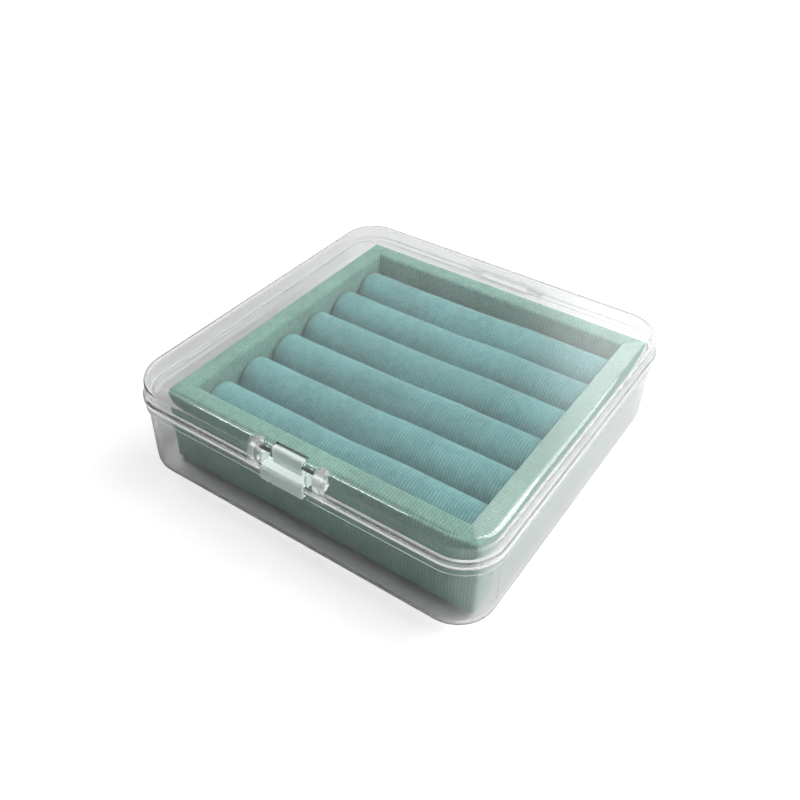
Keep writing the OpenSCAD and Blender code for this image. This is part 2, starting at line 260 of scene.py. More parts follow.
class Effects:
    """Node groups that more than one finish shares. Each is built once."""

    def __init__(self) -> None:
        """Builds the groups."""
        self.ribs = self._build_ribs()
        self.mottle = self._build_mottle()
        self.hairlines = self._build_hairlines()
        self.zone = self._build_zone()

    @staticmethod
    def _group(
        name: str, vectors: tuple[str, ...], numbers: dict[str, float], outputs: tuple[str, ...]
    ) -> bpy.types.NodeTree:
        """Starts a group with its sockets.

        Args:
            name: The group's name.
            vectors: The names of its vector inputs.
            numbers: Its number inputs and their defaults.
            outputs: The names of its number outputs.

        Returns:
            The group, with its input and output nodes in place.
        """
        tree = bpy.data.node_groups.new(name, "ShaderNodeTree")
        for key in vectors:
            tree.interface.new_socket(key, in_out="INPUT", socket_type="NodeSocketVector")
        for key, value in numbers.items():
            socket = tree.interface.new_socket(key, in_out="INPUT", socket_type="NodeSocketFloat")
            socket.default_value = value
        for key in outputs:
            tree.interface.new_socket(key, in_out="OUTPUT", socket_type="NodeSocketFloat")
        tree.nodes.new("NodeGroupInput").name = "in"
        tree.nodes.new("NodeGroupOutput").name = "out"
        return tree

    def _build_ribs(self) -> bpy.types.NodeTree:
        """Fine ribs that follow one another along one coordinate, broken up as woven velvet is.

        Returns:
            A group with the inputs Place, Along, Pitch and Wander and the outputs Height and Line.
        """
        sizes = {"Pitch": 0.0011, "Wander": 0.00008}
        tree = self._group("velvet_ribs", ("Place", "Along"), sizes, ("Height", "Line"))
        start = tree.nodes["in"].outputs
        along = tree.nodes.new("ShaderNodeVectorMath")
        along.operation = "DOT_PRODUCT"
        tree.links.new(start["Place"], along.inputs[0])
        tree.links.new(start["Along"], along.inputs[1])
        drift = math_node(tree, "SUBTRACT", noise_node(tree, start["Place"], 190.0), 0.5)
        shift = math_node(tree, "MULTIPLY_ADD", drift, start["Wander"], along.outputs["Value"])
        turns = math_node(tree, "DIVIDE", shift, start["Pitch"])
        wave = math_node(tree, "SINE", math_node(tree, "MULTIPLY", turns, math.tau))
        rise = spread_node(tree, wave, (-1.0, 0.7), (0.0, 1.0))
        wear = noise_node(tree, start["Place"], 420.0, 3.0)
        line = math_node(tree, "MULTIPLY", rise, spread_node(tree, wear, (0.3, 0.65), (0.35, 1.0)))
        fibre = noise_node(tree, start["Place"], 2600.0)
        height = math_node(tree, "MULTIPLY_ADD", fibre, 0.45, line)
        tree.links.new(height, tree.nodes["out"].inputs["Height"])
        tree.links.new(line, tree.nodes["out"].inputs["Line"])
        return tree

    def _build_mottle(self) -> bpy.types.NodeTree:
        """A soft drift of tone with a finer grain on it.

        Returns:
            A group with the inputs Place, Broad and Fine, which are noise scales, and the output Tone.
        """
        tree = self._group("mottle", ("Place",), {"Broad": 60.0, "Fine": 900.0}, ("Tone",))
        start = tree.nodes["in"].outputs
        both = tree.nodes.new("ShaderNodeMix")
        both.inputs["Factor"].default_value = 0.4
        tree.links.new(noise_node(tree, start["Place"], start["Broad"], 3.0), both.inputs["A"])
        tree.links.new(noise_node(tree, start["Place"], start["Fine"]), both.inputs["B"])
        tone = spread_node(tree, both.outputs["Result"], (0.32, 0.68), (0.0, 1.0))
        tree.links.new(tone, tree.nodes["out"].inputs["Tone"])
        return tree

    def _build_hairlines(self) -> bpy.types.NodeTree:
        """Sparse fine scratches that run two ways, as handling leaves on clear plastic.

        Returns:
            A group with the inputs Place and Spacing and the output Mask.
        """
        tree = self._group("hairlines", ("Place",), {"Spacing": 0.004}, ("Mask",))
        start = tree.nodes["in"].outputs
        masks = []
        for stretch in ((0.6, 9.0, 9.0), (7.0, 0.5, 7.0)):
            drawn = tree.nodes.new("ShaderNodeVectorMath")
            drawn.operation = "MULTIPLY"
            drawn.inputs[1].default_value = stretch
            tree.links.new(start["Place"], drawn.inputs[0])
            scale = math_node(tree, "DIVIDE", 1.0, start["Spacing"])
            ridge = math_node(tree, "ABSOLUTE", math_node(
                tree, "SUBTRACT", noise_node(tree, drawn.outputs["Vector"], scale, 1.0), 0.5))
            masks.append(spread_node(tree, ridge, (0.0, 0.012), (1.0, 0.0)))
        crossed = math_node(tree, "MAXIMUM", masks[0], masks[1])
        patch = spread_node(tree, noise_node(tree, start["Place"], 55.0), (0.5, 0.66), (0.0, 1.0))
        tree.links.new(math_node(tree, "MULTIPLY", crossed, patch), tree.nodes["out"].inputs["Mask"])
        return tree

    def _build_zone(self) -> bpy.types.NodeTree:
        """A box with soft sides, the same on the left and on the right.

        Returns:
            A group with the inputs Place, Middle, Half and Soft and the output Mask.
        """
        tree = self._group("zone", ("Place", "Middle", "Half"), {"Soft": 0.0006}, ("Mask",))
        start = tree.nodes["in"].outputs
        parts = []
        for name in ("Place", "Middle", "Half"):
            split = tree.nodes.new("ShaderNodeSeparateXYZ")
            tree.links.new(start[name], split.inputs[0])
            parts.append(split.outputs)
        place, middle, half = parts
        mirrored = (math_node(tree, "ABSOLUTE", place[0]), place[1], place[2])
        beyond = []
        for axis in range(3):
            apart = math_node(tree, "ABSOLUTE", math_node(tree, "SUBTRACT", mirrored[axis], middle[axis]))
            beyond.append(math_node(tree, "SUBTRACT", apart, half[axis]))
        outside = math_node(tree, "MAXIMUM", math_node(tree, "MAXIMUM", beyond[0], beyond[1]), beyond[2])
        share = math_node(tree, "DIVIDE", outside, start["Soft"])
        tree.links.new(spread_node(tree, share, (-0.5, 0.5), (1.0, 0.0)), tree.nodes["out"].inputs["Mask"])
        return tree


def place_group(
    tree: bpy.types.NodeTree,
    group: bpy.types.NodeTree,
    place: bpy.types.NodeSocket,
    values: dict[str, float | tuple[float, float, float]],
) -> bpy.types.NodeOutputs:
    """Adds a node group to a material.

    Args:
        tree: The material's node tree.
        group: The group to place.
        place: The coordinates' socket.
        values: Socket name to constant.

    Returns:
        The group's outputs.
    """
    node = tree.nodes.new("ShaderNodeGroup")
    node.node_tree = group
    tree.links.new(place, node.inputs["Place"])
    for key, value in values.items():
        node.inputs[key].default_value = value
    return node.outputs


def start_material(
    name: str,
) -> tuple[bpy.types.Material, bpy.types.NodeTree, bpy.types.Node, bpy.types.NodeSocket]:
    """Starts a material on the object's own coordinates.

    Args:
        name: The material's name.

    Returns:
        The material, its node tree, its Principled shader and the coordinates' socket.
    """
    material = bpy.data.materials.new(name)
    material.use_nodes = True
    tree = material.node_tree
    place = tree.nodes.new("ShaderNodeTexCoord").outputs["Object"]
    return material, tree, tree.nodes["Principled BSDF"], place


@dataclass(frozen=True)
class RibbedCloth:
    """How a ribbed velvet stands out of its ground. Sizes in metres."""

    pitch: float = 0.00108
    relief: float = 0.00007

    def stand(self, place: Vector, axis: RibAxis) -> float:
        """Works out how far the ribs lift the surface.

        Args:
            place: A point on the piece.
            axis: The direction along which the ribs follow one another.

        Returns:
            The height over the ground between the ribs.
        """
        wave = math.sin(math.tau * place.dot(Vector(axis.value)) / self.pitch)
        rise = min(1.0, (wave + 1.0) / 1.7)
        worn = 0.75 + 0.25 * noise.noise(place * 420.0)
        return self.relief * rise * rise * (3.0 - 2.0 * rise) * worn


@dataclass(frozen=True)
class VelvetFinish:
    """Fine ribbed velvet.

    Attributes:
        name: The material's name.
        ground: Colour between the ribs.
        crest: Colour on the ribs.
        rib_axis: Direction along which the ribs follow one another.
        cloth: The ribs' sizes.
        grain: How much the pile's grain covers the ribs.
        drift: Noise scales of the broad and the fine change of tone.
        pile: Noise scale of the pile's grain.
        tones: Darkest and lightest share of the colour.
        roughness: How dull the cloth is.
        gloss: How much it mirrors.
        sheen: How much the pile lights up at its edges.
        sheen_spread: How softly it does so.
        sheen_tint: The colour of that light.
    """

    name: str
    ground: Colour
    crest: Colour
    rib_axis: RibAxis
    cloth: RibbedCloth = RibbedCloth()
    grain: float = 0.4
    drift: tuple[float, float] = (45.0, 1500.0)
    pile: float = 2700.0
    tones: tuple[float, float] = (0.88, 1.1)
    roughness: float = 0.92
    gloss: float = 0.12
    sheen: float = 0.3
    sheen_spread: float = 0.45
    sheen_tint: Colour = (0.7, 0.92, 0.86)

    def material(self, effects: Effects) -> bpy.types.Material:
        """Builds the material.

        Args:
            effects: The shared node groups.

        Returns:
            The finished material.
        """
        material, tree, shader, place = start_material(self.name)
        sizes = {"Along": self.rib_axis.value, "Pitch": self.cloth.pitch}
        ribs = place_group(tree, effects.ribs, place, sizes)
        broad, fine = self.drift
        mottle = place_group(tree, effects.mottle, place, {"Broad": broad, "Fine": fine})
        grained = spread_node(tree, noise_node(tree, place, self.pile), (0.25, 0.75), (0.0, 1.0))
        ribbed = math_node(tree, "MULTIPLY", ribs["Line"], 1.0 - self.grain)
        line = math_node(tree, "MULTIPLY_ADD", grained, self.grain, ribbed)
        shade = tree.nodes.new("ShaderNodeVectorMath")
        shade.operation = "SCALE"
        tree.links.new(blend_colours(tree, line, self.ground, self.crest), shade.inputs[0])
        tree.links.new(spread_node(tree, mottle["Tone"], (0.0, 1.0), self.tones), shade.inputs["Scale"])
        tree.links.new(shade.outputs["Vector"], shader.inputs["Base Color"])
        add_bump(tree, math_node(tree, "ADD", ribs["Height"], grained), 0.5 * self.cloth.relief)
        shader.inputs["Roughness"].default_value = self.roughness
        shader.inputs["Specular IOR Level"].default_value = self.gloss
        shader.inputs["Sheen Weight"].default_value = self.sheen
        shader.inputs["Sheen Roughness"].default_value = self.sheen_spread
        shader.inputs["Sheen Tint"].default_value = (*self.sheen_tint, 1.0)
        return material


@dataclass(frozen=True)
class FrostZone:
    """A box on both sides of the case's middle in which the plastic is less polished. Metres."""

    low: tuple[float, float, float]
    high: tuple[float, float, float]
    blur: float


@dataclass(frozen=True)
class ClearPlasticFinish:
    """Clear moulded plastic with a faint haze.

    Attributes:
        name: The material's name.
        tint: Colour of what shows through.
        haze: Share of light that the plastic scatters.
        polish: Lowest roughness.
        scuff: Added roughness where the moulding is dull or scratched.
        shade: How much light each surface holds back from what lies behind it.
        ripple: Height of the moulding's slow waves, in metres.
        drift: Noise scales of the broad and the fine change of polish.
        scratch_spacing: Mean distance between scratches, in metres.
        index: Refractive index.
        zones: Where it is less polished.
    """

    name: str
    tint: Colour
    haze: float = 0.015
    polish: float = 0.04
    scuff: float = 0.05
    shade: float = 0.12
    ripple: float = 0.000005
    drift: tuple[float, float] = (38.0, 140.0)
    scratch_spacing: float = 0.0045
    index: float = 1.49
    zones: tuple[FrostZone, ...] = ()

    def material(self, effects: Effects) -> bpy.types.Material:
        """Builds the material.

        Args:
            effects: The shared node groups.

        Returns:
            The finished material.
        """
        material, tree, shader, place = start_material(self.name)
        broad, fine = self.drift
        mottle = place_group(tree, effects.mottle, place, {"Broad": broad, "Fine": fine})
        hairlines = place_group(tree, effects.hairlines, place, {"Spacing": self.scratch_spacing})
        worn = math_node(tree, "MAXIMUM", math_node(tree, "MULTIPLY", mottle["Tone"], 0.6), hairlines["Mask"])
        gloss = spread_node(tree, worn, (0.0, 1.0), (self.polish, self.polish + self.scuff))
        for zone in self.zones:
            middle = tuple((a + b) / 2 for a, b in zip(zone.low, zone.high))
            half = tuple((b - a) / 2 for a, b in zip(zone.low, zone.high))
            mask = place_group(tree, effects.zone, place, {"Middle": middle, "Half": half})["Mask"]
            gloss = math_node(tree, "MAXIMUM", gloss, math_node(tree, "MULTIPLY", mask, zone.blur))
        tree.links.new(gloss, shader.inputs["Roughness"])
        bright = tuple(min(1.0, 1.02 * channel) for channel in self.tint)
        tree.links.new(blend_colours(tree, mottle["Tone"], self.tint, bright), shader.inputs["Base Color"])
        shadow = tree.nodes.new("ShaderNodeLightPath").outputs["Is Shadow Ray"]
        alpha = math_node(tree, "MULTIPLY_ADD", shadow, self.shade - 1.0, 1.0)
        tree.links.new(alpha, shader.inputs["Alpha"])
        add_bump(tree, mottle["Tone"], self.ripple)
        shader.inputs["IOR"].default_value = self.index
        shader.inputs["Transmission Weight"].default_value = 1.0 - self.haze
        return material


@dataclass(frozen=True)
class PlainFinish:
    """A dull material with a drift of tone and a fine grain, such as foam, fibreboard or card.

    Attributes:
        name: The material's name.
        low: Darker colour.
        high: Lighter colour.
        broad: Scale of the drift.
        fine: Scale of the grain.
        relief: Height of the grain, in metres.
    """

    name: str
    low: Colour
    high: Colour
    broad: float = 80.0
    fine: float = 1200.0
    relief: float = 0.00008

    def material(self, effects: Effects) -> bpy.types.Material:
        """Builds the material.

        Args:
            effects: The shared node groups.

        Returns:
            The finished material.
        """
        material, tree, shader, place = start_material(self.name)
        mottle = place_group(tree, effects.mottle, place, {"Broad": self.broad, "Fine": self.fine})
        tree.links.new(blend_colours(tree, mottle["Tone"], self.low, self.high), shader.inputs["Base Color"])
        add_bump(tree, mottle["Tone"], self.relief)
        shader.inputs["Roughness"].default_value = 0.9
        return material


@dataclass
class ClearCase:
    """The clear base, lid and catch, whose shapes come from the frame. Sizes in metres.

    Attributes:
        tint: Colour of what shows through the base and the lid.
        front_depth: How far in from the front the front stretches reach.
        base_blurs: Roughness of the base's wall, at the front and elsewhere.
        lid_blurs: Roughness of the lid's wall, at the front and elsewhere.
        rim_blurs: Roughness along the seam, at the front and elsewhere.
        ear_blur: Roughness of the catch's ears.
        rim_low: How far the seam's stretch reaches below the lid's edge.
        rim_high: How far it reaches above that edge.
        top_depth: How far below the lid's top its wall starts to be less polished.
        ear_width: Width of an ear and what is beside it.
        ear_depth: How far in from the lid's front the ears reach.
        catch: Finish of the catch.
    """

    tint: Colour = (0.95, 0.956, 0.953)
    front_depth: float = 0.006
    base_blurs: tuple[float, float] = (0.06, 0.2)
    lid_blurs: tuple[float, float] = (0.05, 0.28)
    rim_blurs: tuple[float, float] = (0.12, 0.33)
    ear_blur: float = 0.4
    rim_low: float = 0.0028
    rim_high: float = 0.0021
    top_depth: float = 0.002
    ear_width: float = 0.004
    ear_depth: float = 0.0052
    catch: ClearPlasticFinish = ClearPlasticFinish(
        "clear_catch", (0.88, 0.95, 0.92), haze=0.45, polish=0.26, scuff=0.12
    )

    def build(self, effects: Effects) -> None:
        """Dresses the case's nodes.

        Args:
            effects: The shared node groups.
        """
        lid_low, lid_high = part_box("lid_shell")
        clip_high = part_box("latch_clip")[1]
        front = lid_low.y + self.front_depth
        levels = (
            (0.0, lid_low.z, self.base_blurs),
            (lid_low.z, lid_high.z - self.top_depth, self.lid_blurs),
            (lid_low.z - self.rim_low, lid_low.z + self.rim_high, self.rim_blurs),
        )
        zones: list[FrostZone] = []
        for low, high, (front_blur, side_blur) in levels:
            zones.append(FrostZone((-1.0, -1.0, low), (1.0, front, high), front_blur))
            zones.append(FrostZone((-1.0, front, low), (1.0, 1.0, high), side_blur))
        ear_low = (clip_high.x - self.ear_width, lid_low.y - 0.001, lid_low.z)
        ear_high = (clip_high.x + 0.0002, lid_low.y + self.ear_depth, lid_high.z)
        zones.append(FrostZone(ear_low, ear_high, self.ear_blur))
        shell = ClearPlasticFinish("clear_case", self.tint, zones=tuple(zones)).material(effects)
        catch = self.catch.material(effects)
        for name, material in (("base_shell", shell), ("lid_shell", shell), ("latch_clip", catch)):
            dress(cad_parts[name], material)
            LOG.info("dressed %s", name)


@dataclass
class VelvetRail:
    """One velvet-covered rail of the tray, mitred at both ends. Sizes in metres.

    Attributes:
        side: Which side of the tray it is on.
        centre: The tray's middle.
        half: Half of the tray's outer width.
        width: The rail's width.
        low: Height of its underside.
        high: Height of its top.
        edge_radius: Radius of its long edges.
        corner_radius: Radius of the tray's upright corners.
        seam: How wide the crease beside a mitre is.
        tuck: How much of the way towards the rail's middle a mitre's edge is drawn in.
        steps: Number of stretches along the rail.
        sag: How far the cloth lies below the rail's full size.
    """

    side: TraySide
    centre: Vector
    half: float
    width: float
    low: float
    high: float
    edge_radius: float = 0.0014
    corner_radius: float = 0.0016
    seam: float = 0.00035
    tuck: float = 0.2
    steps: int = 440
    sag: float = 0.00006

    @property
    def name(self) -> str:
        """The piece's name."""
        return f"velvet_{self.side.name.lower()}"

    def build(self, velvet: VelvetFinish, material: bpy.types.Material) -> bpy.types.Object:
        """Models the rail.

        Args:
            velvet: The velvet whose ribs it has.
            material: That velvet's material.

        Returns:
            The finished piece.
        """
        form = self._bar()
        mitre_verts = self._mitre(form)
        self._soften(form, mitre_verts)
        turn = Matrix.Rotation(self.side.value * math.pi / 2, 4, "Z")
        bmesh.ops.transform(form, matrix=Matrix.Translation(self.centre) @ turn, verts=form.verts[:])
        form.normal_update()
        lift = {vert: velvet.cloth.stand(vert.co, velvet.rib_axis) for vert in form.verts}
        for vert, height in lift.items():
            vert.co += vert.normal * height
        piece = mesh_object(self.name, form)
        dress(piece, material)
        return piece

    def _bar(self) -> bmesh.types.BMesh:
        """Makes the bar with rounded long edges, fine enough for the ribs.

        Returns:
            The bar along the tray's front, closed at both ends.
        """
        form = bmesh.new()
        middle = Vector((0.0, self.width / 2 - self.half, (self.low + self.high) / 2))
        size = Matrix.Diagonal((2 * self.half, self.width, self.high - self.low, 1.0))
        bmesh.ops.create_cube(form, size=1.0, matrix=Matrix.Translation(middle) @ size)
        lengthwise = [e for e in form.edges if abs(e.verts[0].co.x - e.verts[1].co.x) > self.half]
        bmesh.ops.bevel(form, geom=lengthwise, offset=self.edge_radius, offset_type="OFFSET",
                        segments=5, profile=0.5, affect="EDGES", material=-1)
        for axis, cuts in ((2, 14), (1, 3)):
            straight = [e for e in form.edges if abs(e.verts[0].co[axis] - e.verts[1].co[axis]) > 0.003
                        and abs(e.verts[0].co.x - e.verts[1].co.x) < 1e-6]
            bmesh.ops.subdivide_edges(form, edges=straight, cuts=cuts, use_grid_fill=True)
        lengthwise = [e for e in form.edges if abs(e.verts[0].co.x - e.verts[1].co.x) > self.half]
        bmesh.ops.subdivide_edges(form, edges=lengthwise, cuts=self.steps - 1, use_grid_fill=True)
        return form

    def _mitre(self, form: bmesh.types.BMesh) -> list[bmesh.types.BMVert]:
        """Cuts both ends to 45 degrees, with two more rings beside each cut.

        Args:
            form: The bar.

        Returns:
            The vertices on the cuts.
        """
        rim: list[bmesh.types.BMVert] = []
        for sign in (-1.0, 1.0):
            across = Vector((sign, 1.0, 0.0)).normalized()
            for back in (1.6, 0.8):
                slice_form(form, across * (-back * self.seam), across)
            cut = slice_form(form, across * (0.2 * self.seam), across, clear_outer=True)
            bmesh.ops.edgeloop_fill(form, edges=[g for g in cut if isinstance(g, bmesh.types.BMEdge)])
            rim += [g for g in cut if isinstance(g, bmesh.types.BMVert)]
        bmesh.ops.recalc_face_normals(form, faces=form.faces[:])
        return rim

    def _soften(self, form: bmesh.types.BMesh, mitre_verts: list[bmesh.types.BMVert]) -> None:
        """Rounds the rail's outer corners, tucks its mitres in and lets the cloth stand a little unevenly.

        Args:
            form: The rail, along the tray's front.
            mitre_verts: The vertices on its mitre cuts.
        """
        reach = self.half - self.corner_radius
        middle = (self.low + self.high) / 2
        for vert in mitre_verts:
            inward = Vector((0.0, self.width / 2 - self.half - vert.co.y, middle - vert.co.z))
            inward.z = math.copysign(min(abs(inward.z), self.seam), inward.z)
            inward.y = math.copysign(min(abs(inward.y), self.seam), inward.y)
            vert.co += inward * self.tuck
        form.normal_update()
        for vert in form.verts:
            place = vert.co.copy()
            beyond = Vector((abs(place.x) - reach, -place.y - reach))
            if beyond.x > 0 and beyond.y > 0 and beyond.length > self.corner_radius:
                beyond *= self.corner_radius / beyond.length
                vert.co.x = math.copysign(reach + beyond.x, place.x)
                vert.co.y = -(reach + beyond.y)
            uneven = noise.noise(place * 90.0) * 0.00007 + noise.noise(place * 320.0) * 0.00003
            vert.co += vert.normal * (uneven - self.sag)


@dataclass
class RingRoll:
    """One soft ring roll: a velvet sleeve over foam that lies along X. Sizes in metres.

    Attributes:
        number: Its number, counted from the back.
        centre: Its middle.
        half_length: Half of its length.
        radius: Radius of its round top.
        floor: Height of its underside.
        top: Height of its crest.
        draw: How far its ends round inwards.
        gather: Depth of the puckers round its ends.
        slack: How far the filling may move the sleeve.
        sag: How far the cloth lies below the roll's full size.
        around: Number of stretches round the sleeve.
        rings: Number of stretches along the sleeve while it is filled.
        finer: How many parts each of those is split into for the ribs.
        caps: Widths of the rings that close an end.
        pressure: Pressure of the filling.
        stiffness: How hard it is to stretch or squeeze the sleeve.
        moments: Number of frames that the filling takes.
    """

    number: int
    centre: Vector
    half_length: float
    radius: float
    floor: float
    top: float
    draw: float = 0.0015
    gather: float = 0.00022
    slack: float = 0.0005
    sag: float = 0.00012
    around: int = 48
    rings: int = 64
    finer: int = 6
    caps: tuple[float, ...] = (0.0012, 0.0016, 0.002)
    pressure: float = 4.0
    stiffness: float = 25.0
    moments: int = 20

    @property
    def name(self) -> str:
        """The piece's name."""
        return f"ring_roll_{self.number}"

    @property
    def axis_z(self) -> float:
        """The height of the round top's axis."""
        return self.top - self.radius

    def build(self, velvet: VelvetFinish, material: bpy.types.Material) -> bpy.types.Object:
        """Models the roll, fills it out and finishes its ends and ribs.

        Args:
            velvet: The velvet whose ribs it has.
            material: That velvet's material.

        Returns:
            The finished piece.
        """
        piece = mesh_object(self.name, self._sleeve())
        self._fill_out(piece)
        form = bmesh.new()
        form.from_mesh(piece.data)
        lengthwise = [e for e in form.edges if e.seam]
        bmesh.ops.subdivide_edges(form, edges=lengthwise, cuts=self.finer - 1, use_grid_fill=True)
        for edge in form.edges:
            edge.seam = False
        self._draw_ends_in(form)
        self._lay_velvet(form, velvet)
        form.to_mesh(piece.data)
        form.free()
        piece.data.shade_smooth()
        dress(piece, material)
        return piece

    def _sleeve(self) -> bmesh.types.BMesh:
        """Spins a round-topped outline out along X and closes it.

        Returns:
            The closed sleeve, with its lengthwise edges marked as seams.
        """
        form = bmesh.new()
        radius = self.radius - self.slack
        turn = Matrix.Rotation(math.pi / 2, 4, "Y")
        ring = bmesh.ops.create_circle(form, segments=self.around, radius=radius, matrix=turn)["verts"]
        for vert in ring:
            if vert.co.z < 0:
                if abs(vert.co.y) > 0.35 * radius:
                    vert.co.y = math.copysign(radius, vert.co.y)
                vert.co.z *= (self.axis_z - self.floor - self.slack) / radius
        bmesh.ops.translate(form, verts=form.verts[:], vec=(self.slack - self.half_length, 0, self.axis_z))
        length = 2 * (self.half_length - self.slack)
        bmesh.ops.spin(form, geom=form.edges[:], cent=(0, 0, 0), axis=(1, 0, 0), angle=0.0,
                       dvec=(length / self.rings, 0, 0), steps=self.rings, use_duplicate=False)
        bmesh.ops.remove_doubles(form, verts=form.verts[:], dist=1e-7)
        for edge in form.edges:
            edge.seam = abs(edge.verts[0].co.x - edge.verts[1].co.x) > 0.5 * length / self.rings
        caps = bmesh.ops.holes_fill(form, edges=[e for e in form.edges if e.is_boundary], sides=0)["faces"]
        for thickness in self.caps:
            bmesh.ops.inset_region(form, faces=caps, thickness=thickness, depth=0.0, use_even_offset=False)
        bmesh.ops.recalc_face_normals(form, faces=form.faces[:])
        bmesh.ops.translate(form, verts=form.verts[:], vec=(self.centre.x, self.centre.y, 0))
        return form

    def _fill_out(self, piece: bpy.types.Object) -> None:
        """Swells the sleeve with cloth under pressure, held near its resting shape.

        Args:
            piece: The sleeve, whose mesh is replaced.
        """
        before = [vert.co.copy() for vert in piece.data.vertices]
        cloth = piece.modifiers.new("filling", "CLOTH")
        cloth.settings.quality = 6
        cloth.settings.mass = 0.2
        cloth.settings.use_pressure = True
        cloth.settings.uniform_pressure_force = self.pressure
        cloth.settings.effector_weights.gravity = 0.0
        cloth.settings.tension_stiffness = self.stiffness
        cloth.settings.compression_stiffness = self.stiffness
        cloth.point_cache.frame_start = 1
        cloth.point_cache.frame_end = self.moments
        for moment in range(1, self.moments + 1):
            bpy.context.scene.frame_set(moment)
        apply_modifiers(piece)
        bpy.context.scene.frame_set(1)
        moved = 0.0
        for vert, old in zip(piece.data.vertices, before):
            move = vert.co - old
            moved += move.length
            if move.length > self.slack:
                vert.co = old + move * (self.slack / move.length)
        LOG.info("filled out %s, by %.2f mm on average before the cap", self.name, 1000 * moved / len(before))

    def _draw_ends_in(self, form: bmesh.types.BMesh) -> None:
        """Rounds the ends, where the sleeve is gathered over the foam, with puckers round them.

        Args:
            form: The filled roll.
        """
        for vert in form.verts:
            reach = abs(vert.co.x - self.centre.x)
            end = min(1.0, (reach - (self.half_length - self.draw)) / self.draw)
            if end <= 0:
                continue
            around = math.atan2(vert.co.z - self.axis_z, vert.co.y - self.centre.y)
            pucker = 0.5 * math.sin(around * 17 + self.number)
            pucker += 0.3 * math.sin(around * 29 + 2.0 * self.number)
            pull = self.draw * (1 - math.sqrt(1 - end * end)) + self.gather * end * (1 + pucker)
            scale = (self.radius - pull) / self.radius
            vert.co.y = self.centre.y + (vert.co.y - self.centre.y) * scale
            if vert.co.z > self.axis_z:
                vert.co.z = self.axis_z + (vert.co.z - self.axis_z) * scale

    def _lay_velvet(self, form: bmesh.types.BMesh, velvet: VelvetFinish) -> None:
        """Lets the cloth lie a little unevenly, adds its ribs and keeps the underside flat.

        Args:
            form: The roll.
            velvet: The velvet whose ribs it has.
        """
        form.normal_update()
        lift: dict[bmesh.types.BMVert, float] = {}
        for vert in form.verts:
            seed = vert.co + Vector((0, 0.03 * self.number, 0))
            uneven = noise.noise(seed * 55.0) * 0.00014 + noise.noise(seed * 210.0) * 0.00005
            across = 1.0 - abs(vert.normal.x)
            lift[vert] = uneven - self.sag + across * velvet.cloth.stand(vert.co, velvet.rib_axis)
        for vert, height in lift.items():
            vert.co += vert.normal * height
            vert.co.z = max(vert.co.z, self.floor)


